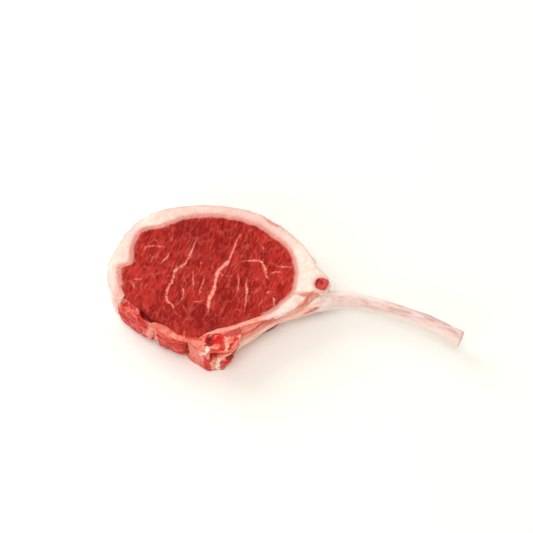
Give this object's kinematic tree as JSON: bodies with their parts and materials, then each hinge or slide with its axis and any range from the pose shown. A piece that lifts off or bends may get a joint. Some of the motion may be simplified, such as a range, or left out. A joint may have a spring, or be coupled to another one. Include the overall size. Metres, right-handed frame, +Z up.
{
  "type": "raw lamb chop",
  "caption": "Raw frenched lamb chop lying flat: round red eye muscle in a pale fat cap, with the backbone piece at its point and a long bared rib.",
  "frame": {"origin": "on the surface the chop lies on, under the middle of its overall box", "axes": "+X from the fat at the left to the bared rib's tip, +Y from the backbone towards the fat, +Z up from the lower cut face to the upper one"},
  "size_m": [0.13, 0.0607, 0.017],
  "materials": {
    "eye_muscle": "gloss",
    "fat": "satin",
    "cap_muscle": "gloss",
    "bone": "satin",
    "rib_meat": "gloss",
    "backbone": "satin",
    "side_meat": "gloss"
  },
  "bodies": {
    "root": {"eye_muscle": "eye_muscle", "fat_cap": "fat", "cap_muscle": "cap_muscle", "rib_bone": "bone", "rib_meat_upper": "rib_meat", "rib_meat_lower": "rib_meat", "backbone": "backbone", "side_meat_upper": "side_meat", "side_meat_lower": "side_meat"}
  },
  "joints": []
}
